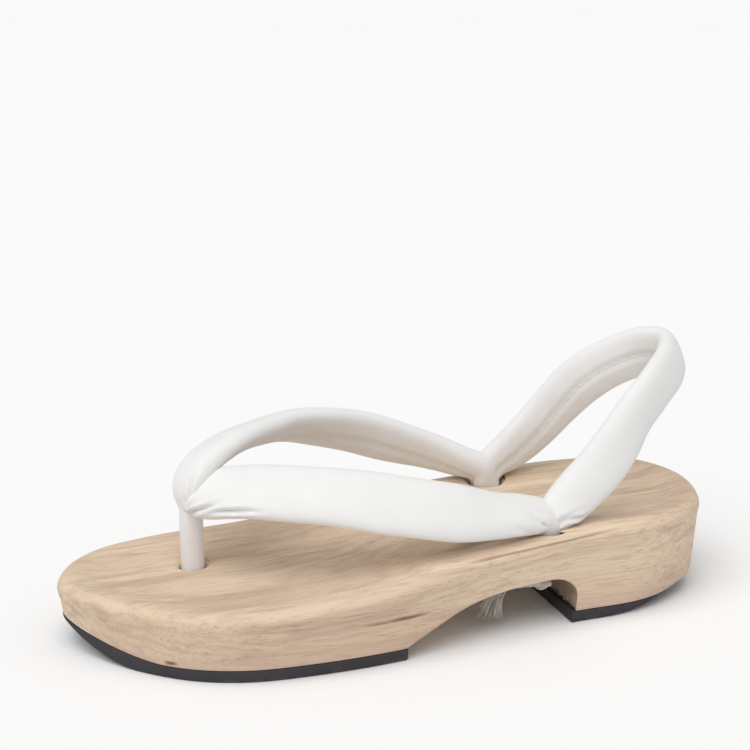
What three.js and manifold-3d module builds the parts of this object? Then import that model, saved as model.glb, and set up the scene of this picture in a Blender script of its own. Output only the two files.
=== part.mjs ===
// Geta sandal, left shoe. Millimetres, +Z up, toe towards -Y, outer (lateral) side towards +X.
// The origin is on the ground under the middle of the sole.
import * as THREE from "three";
import { mergeVertices } from "three/addons/utils/BufferGeometryUtils.js";
import Module from "manifold-3d";

const wasm = await Module();
wasm.setup();

// ---------- driving dimensions ----------
const RUBBER = 5;                 // thickness of the rubber sheets under the wood
const GLUE_GAP = 0.1;             // glue line between wood and rubber
const FIT_GAP = 0.3;              // clearance where the fabric lies on the wood
const SIDE_UNDERCUT = 7;          // degrees, the walls lean in towards the ground
const HEEL_UNDERCUT = 4;          // degrees, at the back of the heel
const HEEL_BEVEL = 8;             // height and depth of the bevel round the back of the heel
// The underside curves up towards the tip of the toe, the rubber more than the wood, so it thins out.
const TOE_RISE = {
  wood: { reach: 28, height: 7.5, power: 1.5 },
  rubber: { reach: 22, height: 11.4, power: 2.2 },
};
const DISH = 1.8;                 // depth of the footbed below its soft rim
const ROWS_PER_SPAN = 4;          // outline steps between two rows of the table

// Outline of the footbed, from toe to heel: half widths to each side and the height of the edge.
const SOLE_ROWS = [
  { y: -127.8, lateral: -4, medial: 23, top: 26.8 },
  { y: -120.5, lateral: 8.5, medial: 34, top: 26.9 },
  { y: -108, lateral: 24, medial: 43, top: 27.1 },
  { y: -92, lateral: 37.5, medial: 47, top: 27.3 },
  { y: -72, lateral: 45.8, medial: 48.6, top: 27.7 },
  { y: -46, lateral: 48.7, medial: 48.7, top: 28.6 },
  { y: -18, lateral: 48.6, medial: 48, top: 31.4 },
  { y: 6, lateral: 46, medial: 46.3, top: 35.8 },
  { y: 28, lateral: 42.6, medial: 44.6, top: 37.2 },
  { y: 62, lateral: 39.4, medial: 43.3, top: 39.6 },
  { y: 90, lateral: 38.4, medial: 43, top: 40 },
  { y: 110, lateral: 30.4, medial: 38, top: 40 },
  { y: 123, lateral: 19.5, medial: 28.5, top: 40 },
];
const TOE_TIP = { x: -13.5, y: -130.2 };
const HEEL_TIP = { x: -6.5, y: 130.2 };
const SPINE = { x: -2, front: -92, back: 92 };   // line that the footbed's rings close towards

// Underside of the wood between the two rubber sheets.
const ARCH_ROWS = [
  { y: -11.6, z: RUBBER },
  { y: -1, z: 10.6 },
  { y: 12.5, z: 16.6 },
  { y: 28, z: 19.6 },
];
const ARCH_CROWN = { y: 50, z: 20.8 };
const HEEL_BREAST = 62;
const ARCH_FILLET_DROP = 9;
const RUBBER_LIP = 1.5;           // the heel rubber stands this far in front of the wood

// Holes that the straps go into.
const SIDE_HOLES = { lateral: [28.5, 52], medial: [-32.5, 52] };
const SIDE_HOLE_RADIUS = 6.5;
const SIDE_PLUG = 11.6;           // diameter of the strap ends inside the side holes
const FRONT_HOLE = [-13.5, -78];
const FRONT_HOLE_RADIUS = 5;
const FRONT_HOLE_FLOOR = 11;
const POST = 8.8;                 // diameter of the toe post
const HOLE_MOUTH = 3;             // depth of the flared mouth
const HOLE_FLARE = 1.6;

// Straps: centre line, width, thickness and the direction that the broad face looks in.
const STRAP_SIDES = 18;
const STRAP_FULLNESS = 2.3;       // exponent of the section, 2 is an ellipse
const STRAP_STEPS = 3;            // rings between two rows

const FRONT_LATERAL = [
  { x: -14.5, y: -77, z: 51, w: 12, t: 10, face: [0.2, -0.8, 0.6] },
  { x: -9, y: -73.5, z: 55, w: 19, t: 11, face: [0.45, -0.55, 0.7] },
  { x: -0.5, y: -64, z: 58, w: 22, t: 10.5, face: [0.55, -0.4, 0.75] },
  { x: 10, y: -50.5, z: 59.5, w: 22.5, t: 10, face: [0.65, -0.3, 0.7] },
  { x: 21, y: -31, z: 59, w: 23, t: 10, face: [0.75, -0.2, 0.65] },
  { x: 29.5, y: -8, z: 55.5, w: 23, t: 10, face: [0.82, -0.1, 0.57] },
  { x: 33, y: 12, z: 51.5, w: 22, t: 10, face: [0.85, -0.05, 0.52] },
  { x: 32.5, y: 28, z: 48.2, w: 19, t: 10, face: [0.8, 0, 0.6] },
  { x: 30.5, y: 41, z: 46, w: 16.5, t: 10.5, face: [0.7, 0, 0.7] },
  { x: 28.8, y: 49.5, z: 43.2, w: 14, t: 11.5, face: [0.5, 0.3, 0.7] },
  { x: 28.5, y: 52, z: 37, w: SIDE_PLUG, t: SIDE_PLUG, face: [0, 1, 0] },
  { x: 28.5, y: 52, z: 30, w: SIDE_PLUG, t: SIDE_PLUG, face: [0, 1, 0] },
  { x: 28.5, y: 52, z: 22, w: SIDE_PLUG, t: SIDE_PLUG, face: [0, 1, 0] },
];
const FRONT_MEDIAL = [
  { x: -13.5, y: -77, z: 49, w: 10, t: 10, face: [-0.2, -0.8, 0.6] },
  { x: -15.5, y: -78, z: 56, w: 17, t: 10.5, face: [0.1, -0.9, 0.4] },
  { x: -17, y: -74, z: 63.5, w: 20, t: 10.5, face: [0, -0.75, 0.65] },
  { x: -22, y: -63, z: 68.5, w: 21.5, t: 10, face: [-0.1, -0.5, 0.85] },
  { x: -31, y: -47, z: 70, w: 21.5, t: 10, face: [-0.35, -0.3, 0.88] },
  { x: -38.2, y: -30, z: 68.8, w: 22, t: 10, face: [-0.6, -0.2, 0.77] },
  { x: -41, y: -8, z: 64, w: 22, t: 10, face: [-0.78, -0.1, 0.6] },
  { x: -40.3, y: 12, z: 57.2, w: 21, t: 10, face: [-0.83, -0.05, 0.55] },
  { x: -38.5, y: 28, z: 51.5, w: 19, t: 10, face: [-0.8, 0, 0.6] },
  { x: -35.2, y: 41, z: 46.6, w: 16.5, t: 10.5, face: [-0.7, 0, 0.7] },
  { x: -33, y: 49.5, z: 43.2, w: 14, t: 11.5, face: [-0.5, 0.3, 0.7] },
  { x: -32.5, y: 52, z: 37, w: SIDE_PLUG, t: SIDE_PLUG, face: [0, 1, 0] },
  { x: -32.5, y: 52, z: 30, w: SIDE_PLUG, t: SIDE_PLUG, face: [0, 1, 0] },
  { x: -32.5, y: 52, z: 22, w: SIDE_PLUG, t: SIDE_PLUG, face: [0, 1, 0] },
];
const SLING = [
  { x: 28.5, y: 52.5, z: 38, w: 9, t: 9, face: [1, 0, 0.3] },
  { x: 28.8, y: 56, z: 44.5, w: 15, t: 10.5, face: [1, 0, 0.3] },
  { x: 27.5, y: 64, z: 50.5, w: 19, t: 10, face: [1, 0, 0.25] },
  { x: 26, y: 74, z: 58.5, w: 20.5, t: 9.5, face: [1, 0.05, 0.2] },
  { x: 24.5, y: 83, z: 68, w: 21, t: 9, face: [1, 0.2, 0.15] },
  { x: 21, y: 92, z: 78, w: 21, t: 9, face: [0.9, 0.45, 0.15] },
  { x: 15.5, y: 103.5, z: 86.5, w: 21, t: 9, face: [0.7, 0.7, 0.2] },
  { x: 8, y: 113.5, z: 92, w: 21, t: 9, face: [0.45, 0.85, 0.3] },
  { x: -3, y: 118.5, z: 94, w: 21, t: 9, face: [0, 0.93, 0.38] },
  { x: -14, y: 113.5, z: 92, w: 21, t: 9, face: [-0.45, 0.85, 0.3] },
  { x: -21.5, y: 103.5, z: 86.5, w: 21, t: 9, face: [-0.7, 0.7, 0.2] },
  { x: -27, y: 92, z: 78, w: 21, t: 9, face: [-0.9, 0.45, 0.15] },
  { x: -30.5, y: 83, z: 68, w: 21, t: 9, face: [-1, 0.2, 0.15] },
  { x: -31.5, y: 74, z: 58.5, w: 20.5, t: 9.5, face: [-1, 0.05, 0.2] },
  { x: -32, y: 64, z: 50.5, w: 19, t: 10, face: [-1, 0, 0.25] },
  { x: -32.8, y: 56, z: 44.5, w: 15, t: 10.5, face: [-1, 0, 0.3] },
  { x: -32.5, y: 52.5, z: 38, w: 9, t: 9, face: [-1, 0, 0.3] },
];
const TOE_POST = [
  { x: -13.5, y: -78, z: FRONT_HOLE_FLOOR + 1, w: POST, t: POST, face: [0, -1, 0] },
  { x: -13.5, y: -78, z: 24, w: POST, t: POST, face: [0, -1, 0] },
  { x: -13.5, y: -78, z: 38, w: POST, t: POST, face: [0, -1, 0] },
  { x: -13.8, y: -77.5, z: 53, w: POST, t: POST, face: [0, -1, 0] },
];

// Knots against the wood under the side holes, and the two cord ends that leave each of them.
// Cord ends are measured from the middle of their hole, outwards (dx), along the sole (dy) and up.
const KNOT = { width: 9.4, length: 11, height: 5.8, forward: 3.5, z: 17.4 };
const TAIL_SIDES = 8;
const TAIL_STEPS = 12;
const TAILS = {
  a: {
    radius: 1.6,
    route: [[-6.6, 0.5, 17], [-6.8, -3.6, 17.6], [-5.8, -8.2, 18], [-3.6, -12.6, 18], [-1.8, -16.4, 16.8],
      [-0.9, -19.4, 13.6], [-0.6, -21, 9.6], [-0.5, -21.8, 5.6]],
  },
  b: {
    radius: 1.3,
    route: [[6.3, -1.4, 18.4], [6.2, -6, 18.8], [5, -10.6, 18.8], [3.4, -15.4, 18.2], [1.8, -20, 16.8],
      [0.9, -23.8, 13.6], [0.4, -26, 10], [0, -27.6, 6.6]],
  },
};

const COLOURS = {
  wood: { color: 0xd2b48e, roughness: 0.62 },
  rubber: { color: 0x3a373b, roughness: 0.85 },
  fabric: { color: 0xebe9e6, roughness: 0.9 },
  cord: { color: 0xcfcbc2, roughness: 0.95 },
};

// ---------- helpers ----------
const degrees = (angle) => (angle * Math.PI) / 180;

function meshFrom(positions, triangles) {
  const geometry = new THREE.BufferGeometry();
  geometry.setAttribute("position", new THREE.Float32BufferAttribute(positions, 3));
  geometry.setIndex(triangles);
  return geometry;
}

function toSolid(geometry) {
  const bare = geometry.clone();
  bare.deleteAttribute("normal");
  bare.deleteAttribute("uv");
  const merged = mergeVertices(bare, 1e-4);
  const triVerts = new Uint32Array(merged.index.array);
  const vertProperties = new Float32Array(merged.attributes.position.array);
  return new wasm.Manifold(new wasm.Mesh({ numProp: 3, vertProperties, triVerts }));
}

function toGeometry(solid) {
  const mesh = solid.getMesh();
  return meshFrom(Array.from(mesh.vertProperties), Array.from(mesh.triVerts));
}

// Joins closed rings of equal length, each a list of points, and closes both ends.
// The rings run anticlockwise seen from the last ring's side.
function skin(rings, capStart, capEnd) {
  const count = rings[0].length;
  const positions = rings.flat().flatMap((p) => [p.x, p.y, p.z]);
  const triangles = [];
  for (let r = 0; r + 1 < rings.length; r += 1) {
    for (let i = 0; i < count; i += 1) {
      const next = (i + 1) % count;
      const [a, b] = [r * count + i, r * count + next];
      const [c, d] = [a + count, b + count];
      triangles.push(a, b, d, a, d, c);
    }
  }
  const last = (rings.length - 1) * count;
  for (const [a, b, c] of capStart(count)) triangles.push(c, b, a);
  for (const [a, b, c] of capEnd(count)) triangles.push(last + a, last + b, last + c);
  return meshFrom(positions, triangles);
}

// Cap for a ring whose points i and count - i face each other across the shape.
function ladderCap(count) {
  const triangles = [];
  for (let i = 0; i < count / 2; i += 1) {
    const [a, b] = [i, i + 1];
    const [c, d] = [(count - i) % count, count - i - 1];
    if (a !== c) triangles.push([a, b, c]);
    if (b !== d) triangles.push([b, d, c]);
  }
  return triangles;
}

function drop(x, y, profile, segments) {
  const geometry = new THREE.LatheGeometry(profile, segments);
  geometry.rotateX(Math.PI / 2);
  geometry.translate(x, y, 0);
  return toSolid(geometry);
}

// ---------- sole ----------
function outlineCurve() {
  const lateral = SOLE_ROWS.map((row) => new THREE.Vector3(row.lateral, row.y, 0));
  const medial = SOLE_ROWS.map((row) => new THREE.Vector3(-row.medial, row.y, 0)).reverse();
  const toe = new THREE.Vector3(TOE_TIP.x, TOE_TIP.y, 0);
  const heel = new THREE.Vector3(HEEL_TIP.x, HEEL_TIP.y, 0);
  return new THREE.CatmullRomCurve3([toe, ...lateral, heel, ...medial], true, "centripetal");
}

// Height of the footbed's edge at a distance along the sole.
function edgeHeight(y) {
  const rows = SOLE_ROWS;
  if (y <= rows[0].y) return rows[0].top;
  const k = rows.findIndex((row) => row.y > y);
  if (k < 0) return rows[rows.length - 1].top;
  const part = (y - rows[k - 1].y) / (rows[k].y - rows[k - 1].y);
  const before = rows[Math.max(k - 2, 0)].top;
  const after = rows[Math.min(k + 1, rows.length - 1)].top;
  const [a, b] = [rows[k - 1].top, rows[k].top];
  const [slopeA, slopeB] = [(b - before) / 2, (after - a) / 2];
  const cubic = 2 * a - 2 * b + slopeA + slopeB;
  const square = -3 * a + 3 * b - 2 * slopeA - slopeB;
  return ((cubic * part + square) * part + slopeA) * part + a;
}

// 0 along the sides, 1 at the back of the heel.
const heelShare = (y, start, end) => THREE.MathUtils.smoothstep(y, start, end);

const outline = (() => {
  const curve = outlineCurve();
  const count = (2 * SOLE_ROWS.length + 2) * ROWS_PER_SPAN;
  const points = Array.from({ length: count }, (_, i) => curve.getPoint(i / count));
  return points.map((p, i) => {
    const tangent = points[(i + 1) % count].clone().sub(points[(i + count - 1) % count]);
    const inward = new THREE.Vector3(-tangent.y, tangent.x, 0).normalize();
    return { p, inward };
  });
})();

function undercut(y) {
  const heel = (HEEL_UNDERCUT - SIDE_UNDERCUT) * heelShare(y, 85, 128);
  return Math.tan(degrees(SIDE_UNDERCUT + heel));
}

function heelBevel(y) {
  return HEEL_BEVEL * heelShare(y, 66, 126);
}

function toeRise(y, { reach, height, power }) {
  return height * Math.max(1 - (y - TOE_TIP.y) / reach, 0) ** power;
}

const rubberFloor = (y) => toeRise(y, TOE_RISE.rubber);
const woodFloor = (y) => RUBBER + toeRise(y, TOE_RISE.wood);

// A point on the leaning wall at a height, moved further in where the heel's bevel cuts it.
function wallPoint({ p, inward }, height) {
  const bevel = heelBevel(p.y);
  const bevelInset = Math.max(bevel - height, 0);
  const inset = (edgeHeight(p.y) - height) * undercut(p.y) + bevelInset;
  return p.clone().addScaledVector(inward, inset).setZ(height);
}

function wallRing(heightAt) {
  return outline.map((row) => wallPoint(row, heightAt(row.p.y)));
}

function edgeRing(inset, fall) {
  return outline.map(({ p, inward }) => {
    const moved = p.clone().addScaledVector(inward, inset);
    return moved.setZ(edgeHeight(p.y) - fall);
  });
}

function bedRing(scale, fall) {
  return outline.map(({ p }) => {
    const core = new THREE.Vector3(SPINE.x, THREE.MathUtils.clamp(p.y, SPINE.front, SPINE.back), 0);
    const moved = core.clone().lerp(p, scale);
    return moved.setZ(edgeHeight(moved.y) - fall);
  });
}

function woodBlock() {
  const rings = [
    wallRing(woodFloor),
    wallRing((y) => Math.max(heelBevel(y), woodFloor(y) + 1)),
    edgeRing(0.5, 8),
    edgeRing(0, 4.4),
    edgeRing(0.7, 1.9),
    edgeRing(2.3, 0.5),
    edgeRing(5, 0),
    bedRing(0.78, DISH * 0.6),
    bedRing(0.5, DISH),
  ];
  return toSolid(skin(rings, ladderCap, ladderCap));
}

// A vertical profile in (y, z), carried right across the sole.
function acrossSole(shape) {
  const reach = 80;
  const options = { depth: 2 * reach, bevelEnabled: false, curveSegments: 8 };
  const geometry = new THREE.ExtrudeGeometry(shape, options);
  const basis = new THREE.Matrix4().makeBasis(
    new THREE.Vector3(0, 1, 0),
    new THREE.Vector3(0, 0, 1),
    new THREE.Vector3(1, 0, 0),
  );
  geometry.applyMatrix4(basis);
  geometry.translate(-reach, 0, 0);
  return toSolid(geometry);
}

function archNotch() {
  const shape = new THREE.Shape();
  shape.moveTo(ARCH_ROWS[0].y, -5);
  shape.lineTo(ARCH_ROWS[0].y, ARCH_ROWS[0].z);
  const rise = ARCH_ROWS.slice(1).map((row) => new THREE.Vector2(row.y, row.z));
  shape.splineThru([...rise, new THREE.Vector2(ARCH_CROWN.y, ARCH_CROWN.z)]);
  const centre = ARCH_CROWN.z - ARCH_FILLET_DROP;
  const reach = HEEL_BREAST - ARCH_CROWN.y;
  shape.absellipse(ARCH_CROWN.y, centre, reach, ARCH_FILLET_DROP, Math.PI / 2, 0, true);
  shape.lineTo(HEEL_BREAST, -5);
  return acrossSole(shape);
}

function sideHole([x, y]) {
  const top = edgeHeight(y) + 1;
  const mouth = top - HOLE_MOUTH - DISH;
  const profile = [
    new THREE.Vector2(0, 8),
    new THREE.Vector2(SIDE_HOLE_RADIUS, 8),
    new THREE.Vector2(SIDE_HOLE_RADIUS, mouth),
    new THREE.Vector2(SIDE_HOLE_RADIUS + HOLE_FLARE, top),
    new THREE.Vector2(0, top),
  ];
  return drop(x, y, profile, 28);
}

function frontHole() {
  const top = edgeHeight(FRONT_HOLE[1]) + 1;
  const profile = [
    new THREE.Vector2(0, FRONT_HOLE_FLOOR),
    new THREE.Vector2(FRONT_HOLE_RADIUS, FRONT_HOLE_FLOOR),
    new THREE.Vector2(FRONT_HOLE_RADIUS, top),
    new THREE.Vector2(0, top),
  ];
  return drop(FRONT_HOLE[0], FRONT_HOLE[1], profile, 24);
}

function rubberSheet(front, back) {
  const rings = [wallRing(rubberFloor), wallRing((y) => woodFloor(y) - GLUE_GAP)];
  const sheet = toSolid(skin(rings, ladderCap, ladderCap));
  const above = RUBBER + TOE_RISE.wood.height + 1;
  const shape = new THREE.Shape();
  shape.moveTo(front, -1);
  shape.lineTo(back, -1);
  shape.lineTo(back, above);
  shape.lineTo(front, above);
  return sheet.intersect(acrossSole(shape));
}

// ---------- straps ----------
function strapRings(rows) {
  const centres = rows.map((r) => new THREE.Vector3(r.x, r.y, r.z));
  const path = new THREE.CatmullRomCurve3(centres, false, "centripetal");
  const spans = rows.length - 1;
  const rings = [];
  for (let k = 0; k <= spans * STRAP_STEPS; k += 1) {
    const u = k / (spans * STRAP_STEPS);
    const row = Math.min(Math.floor(k / STRAP_STEPS), spans - 1);
    const part = k / STRAP_STEPS - row;
    const [a, b] = [rows[row], rows[row + 1]];
    const width = THREE.MathUtils.lerp(a.w, b.w, part);
    const thickness = THREE.MathUtils.lerp(a.t, b.t, part);
    const along = path.getTangent(u);
    const outward = new THREE.Vector3(...a.face).lerp(new THREE.Vector3(...b.face), part);
    outward.addScaledVector(along, -outward.dot(along)).normalize();
    const across = new THREE.Vector3().crossVectors(outward, along);
    rings.push(sectionRing(path.getPoint(u), across, outward, width, thickness));
  }
  return rings;
}

function sectionRing(centre, across, outward, width, thickness) {
  const power = 2 / STRAP_FULLNESS;
  return Array.from({ length: STRAP_SIDES }, (_, i) => {
    const angle = (2 * Math.PI * i) / STRAP_SIDES;
    const [c, s] = [Math.cos(angle), Math.sin(angle)];
    const u = Math.sign(c) * Math.abs(c) ** power * (width / 2);
    const v = Math.sign(s) * Math.abs(s) ** power * (thickness / 2);
    return centre.clone().addScaledVector(across, u).addScaledVector(outward, v);
  });
}

const strap = (rows) => toSolid(skin(strapRings(rows), ladderCap, ladderCap));

// ---------- knots and cord ends ----------
function knot([x, y]) {
  const geometry = new THREE.SphereGeometry(0.5, 14, 10);
  geometry.scale(KNOT.width, KNOT.length, KNOT.height);
  geometry.translate(x, y - KNOT.forward, KNOT.z);
  return toSolid(geometry);
}

function tail([x, y], side, { radius, route }) {
  const points = route.map(([dx, dy, z]) => new THREE.Vector3(x + side * dx, y + dy, z));
  const section = new THREE.Shape();
  section.absarc(0, 0, radius, 0, 2 * Math.PI);
  const geometry = new THREE.ExtrudeGeometry(section, {
    extrudePath: new THREE.CatmullRomCurve3(points, false, "centripetal"),
    steps: TAIL_STEPS,
    curveSegments: TAIL_SIDES / 2,
    bevelEnabled: false,
  });
  return toSolid(geometry);
}

// ---------- assembly ----------
function addPiece(group, name, solid, look) {
  const material = new THREE.MeshStandardMaterial({ ...COLOURS[look], metalness: 0 });
  const mesh = new THREE.Mesh(toGeometry(solid), material);
  mesh.name = name;
  group.add(mesh);
}

function build() {
  const sole = woodBlock()
    .subtract(archNotch())
    .subtract(sideHole(SIDE_HOLES.lateral))
    .subtract(sideHole(SIDE_HOLES.medial))
    .subtract(frontHole());
  const straps = strap(FRONT_LATERAL).add(strap(FRONT_MEDIAL)).add(strap(SLING)).add(strap(TOE_POST));
  const upper = straps.subtract(sole.translate([0, 0, FIT_GAP]));

  const geta = new THREE.Group();
  addPiece(geta, "sole_body", sole, "wood");
  addPiece(geta, "outsole_front", rubberSheet(-140, ARCH_ROWS[0].y), "rubber");
  addPiece(geta, "outsole_heel", rubberSheet(HEEL_BREAST - RUBBER_LIP, 140), "rubber");
  addPiece(geta, "upper", upper, "fabric");
  for (const [name, side] of [["lateral", 1], ["medial", -1]]) {
    addPiece(geta, `knot_${name}`, knot(SIDE_HOLES[name]), "cord");
    for (const [kind, shape] of Object.entries(TAILS)) {
      addPiece(geta, `tail_${name}_${kind}`, tail(SIDE_HOLES[name], side, shape), "cord");
    }
  }
  return geta;
}

export default build();
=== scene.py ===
"""Looks of a left geta sandal. Metres, +Z up, toe towards -Y, outer (lateral) side towards +X."""
import math

import bpy
import numpy as np
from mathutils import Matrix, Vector


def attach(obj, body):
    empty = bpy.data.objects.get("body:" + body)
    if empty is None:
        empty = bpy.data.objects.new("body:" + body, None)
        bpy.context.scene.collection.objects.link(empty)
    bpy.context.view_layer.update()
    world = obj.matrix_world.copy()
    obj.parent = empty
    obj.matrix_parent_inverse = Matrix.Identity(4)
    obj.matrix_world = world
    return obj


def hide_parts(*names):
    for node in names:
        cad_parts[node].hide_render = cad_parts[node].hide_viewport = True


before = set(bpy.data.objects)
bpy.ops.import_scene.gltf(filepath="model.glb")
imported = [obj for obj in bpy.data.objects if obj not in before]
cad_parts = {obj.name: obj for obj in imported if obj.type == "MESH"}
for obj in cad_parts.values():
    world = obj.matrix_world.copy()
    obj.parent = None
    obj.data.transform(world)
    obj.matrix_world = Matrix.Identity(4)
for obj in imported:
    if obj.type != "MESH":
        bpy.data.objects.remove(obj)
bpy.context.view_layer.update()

# ---------- sizes that the CAD model states too ----------
RUBBER = 0.005
RUBBER_TOP = 0.0049               # a glue line of 0.1 mm lies between rubber and wood
SIDE_UNDERCUT = 7                 # degrees
HEEL_UNDERCUT = 4
HEEL_BEVEL = 0.008
# The underside curves up at the toe: over what reach from the tip, how high, and with what power.
WOOD_RISE = (0.028, 0.0075, 1.5)
RUBBER_RISE = (0.022, 0.0114, 2.2)
DISH = 0.0018
SOLE_ROWS = np.array([            # y, lateral half width, medial half width, height of the edge
    (-0.1278, -0.004, 0.023, 0.0268),
    (-0.1205, 0.0085, 0.034, 0.0269),
    (-0.108, 0.024, 0.043, 0.0271),
    (-0.092, 0.0375, 0.047, 0.0273),
    (-0.072, 0.0458, 0.0486, 0.0277),
    (-0.046, 0.0487, 0.0487, 0.0286),
    (-0.018, 0.0486, 0.048, 0.0314),
    (0.006, 0.046, 0.0463, 0.0358),
    (0.028, 0.0426, 0.0446, 0.0372),
    (0.062, 0.0394, 0.0433, 0.0396),
    (0.09, 0.0384, 0.043, 0.04),
    (0.11, 0.0304, 0.038, 0.04),
    (0.123, 0.0195, 0.0285, 0.04),
])
TOE_TIP = (-0.0135, -0.1302)
HEEL_TIP = (-0.0065, 0.1302)
SPINE_X, SPINE_FRONT, SPINE_BACK = -0.002, -0.092, 0.092
ARCH_ROWS = [(-0.0116, RUBBER), (-0.001, 0.0106), (0.0125, 0.0166), (0.028, 0.0196), (0.05, 0.0208)]
HEEL_BREAST = 0.062
ARCH_FILLET = (0.05, 0.0118, 0.012, 0.009)    # centre y and z, reach and drop
HEEL_RUBBER_FRONT = 0.0605
SIDE_HOLES = {"lateral": (0.0285, 0.052), "medial": (-0.0325, 0.052)}
SIDE_HOLE_RADIUS = 0.0065
FRONT_HOLE = (-0.0135, -0.078)
FRONT_HOLE_RADIUS = 0.005
FRONT_HOLE_FLOOR = 0.011
STRAP_FULLNESS = 2.3              # exponent of a strap's section, 2 is an ellipse

# Straps: x, y, z, width, thickness and the direction that the broad face looks in.
FRONT_LATERAL = [
    (-0.0145, -0.077, 0.051, 0.012, 0.01, (0.2, -0.8, 0.6)),
    (-0.009, -0.0735, 0.055, 0.019, 0.011, (0.45, -0.55, 0.7)),
    (-0.0005, -0.064, 0.058, 0.022, 0.0105, (0.55, -0.4, 0.75)),
    (0.01, -0.0505, 0.0595, 0.0225, 0.01, (0.65, -0.3, 0.7)),
    (0.021, -0.031, 0.059, 0.023, 0.01, (0.75, -0.2, 0.65)),
    (0.0295, -0.008, 0.0555, 0.023, 0.01, (0.82, -0.1, 0.57)),
    (0.033, 0.012, 0.0515, 0.022, 0.01, (0.85, -0.05, 0.52)),
    (0.0325, 0.028, 0.0482, 0.019, 0.01, (0.8, 0, 0.6)),
    (0.0305, 0.041, 0.046, 0.0165, 0.0105, (0.7, 0, 0.7)),
    (0.0288, 0.0495, 0.0432, 0.014, 0.0115, (0.5, 0.3, 0.7)),
    (0.0285, 0.052, 0.037, 0.0116, 0.0116, (0, 1, 0)),
    (0.0285, 0.052, 0.03, 0.0116, 0.0116, (0, 1, 0)),
    (0.0285, 0.052, 0.022, 0.0116, 0.0116, (0, 1, 0)),
]
FRONT_MEDIAL = [
    (-0.0135, -0.077, 0.049, 0.01, 0.01, (-0.2, -0.8, 0.6)),
    (-0.0155, -0.078, 0.056, 0.017, 0.0105, (0.1, -0.9, 0.4)),
    (-0.017, -0.074, 0.0635, 0.02, 0.0105, (0, -0.75, 0.65)),
    (-0.022, -0.063, 0.0685, 0.0215, 0.01, (-0.1, -0.5, 0.85)),
    (-0.031, -0.047, 0.07, 0.0215, 0.01, (-0.35, -0.3, 0.88)),
    (-0.0382, -0.03, 0.0688, 0.022, 0.01, (-0.6, -0.2, 0.77)),
    (-0.041, -0.008, 0.064, 0.022, 0.01, (-0.78, -0.1, 0.6)),
    (-0.0403, 0.012, 0.0572, 0.021, 0.01, (-0.83, -0.05, 0.55)),
    (-0.0385, 0.028, 0.0515, 0.019, 0.01, (-0.8, 0, 0.6)),
    (-0.0352, 0.041, 0.0466, 0.0165, 0.0105, (-0.7, 0, 0.7)),
    (-0.033, 0.0495, 0.0432, 0.014, 0.0115, (-0.5, 0.3, 0.7)),
    (-0.0325, 0.052, 0.037, 0.0116, 0.0116, (0, 1, 0)),
    (-0.0325, 0.052, 0.03, 0.0116, 0.0116, (0, 1, 0)),
    (-0.0325, 0.052, 0.022, 0.0116, 0.0116, (0, 1, 0)),
]
SLING = [
    (0.0285, 0.0525, 0.038, 0.009, 0.009, (1, 0, 0.3)),
    (0.0288, 0.056, 0.0445, 0.015, 0.0105, (1, 0, 0.3)),
    (0.0275, 0.064, 0.0505, 0.019, 0.01, (1, 0, 0.25)),
    (0.026, 0.074, 0.0585, 0.0205, 0.0095, (1, 0.05, 0.2)),
    (0.0245, 0.083, 0.068, 0.021, 0.009, (1, 0.2, 0.15)),
    (0.021, 0.092, 0.078, 0.021, 0.009, (0.9, 0.45, 0.15)),
    (0.0155, 0.1035, 0.0865, 0.021, 0.009, (0.7, 0.7, 0.2)),
    (0.008, 0.1135, 0.092, 0.021, 0.009, (0.45, 0.85, 0.3)),
    (-0.003, 0.1185, 0.094, 0.021, 0.009, (0, 0.93, 0.38)),
    (-0.014, 0.1135, 0.092, 0.021, 0.009, (-0.45, 0.85, 0.3)),
    (-0.0215, 0.1035, 0.0865, 0.021, 0.009, (-0.7, 0.7, 0.2)),
    (-0.027, 0.092, 0.078, 0.021, 0.009, (-0.9, 0.45, 0.15)),
    (-0.0305, 0.083, 0.068, 0.021, 0.009, (-1, 0.2, 0.15)),
    (-0.0315, 0.074, 0.0585, 0.0205, 0.0095, (-1, 0.05, 0.2)),
    (-0.032, 0.064, 0.0505, 0.019, 0.01, (-1, 0, 0.25)),
    (-0.0328, 0.056, 0.0445, 0.015, 0.0105, (-1, 0, 0.3)),
    (-0.0325, 0.0525, 0.038, 0.009, 0.009, (-1, 0, 0.3)),
]
TOE_POST = [
    (-0.0135, -0.078, 0.012, 0.0088, 0.0088, (0, -1, 0)),
    (-0.0135, -0.078, 0.024, 0.0088, 0.0088, (0, -1, 0)),
    (-0.0135, -0.078, 0.038, 0.0088, 0.0088, (0, -1, 0)),
    (-0.0138, -0.0775, 0.053, 0.0088, 0.0088, (0, -1, 0)),
]

# Knots against the wood under the side holes, and the two cord ends that leave each of them.
KNOT = {"width": 0.0094, "length": 0.011, "height": 0.0058, "forward": 0.0035, "z": 0.0174}
CORD_ENDS = {                     # measured from the middle of the hole: outwards, along the sole, up
    "a": {"diameter": 0.0032, "length": 0.0311, "route": [
        (-0.0066, 0.0005, 0.017), (-0.0068, -0.0036, 0.0176), (-0.0058, -0.0082, 0.018),
        (-0.0036, -0.0126, 0.018), (-0.0018, -0.0164, 0.0168), (-0.0009, -0.0194, 0.0136),
        (-0.0006, -0.021, 0.0096), (-0.0005, -0.0218, 0.0056)]},
    "b": {"diameter": 0.0026, "length": 0.0326, "route": [
        (0.0063, -0.0014, 0.0184), (0.0062, -0.006, 0.0188), (0.005, -0.0106, 0.0188),
        (0.0034, -0.0154, 0.0182), (0.0018, -0.02, 0.0168), (0.0009, -0.0238, 0.0136),
        (0.0004, -0.026, 0.01), (0, -0.0276, 0.0066)]},
}

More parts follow.
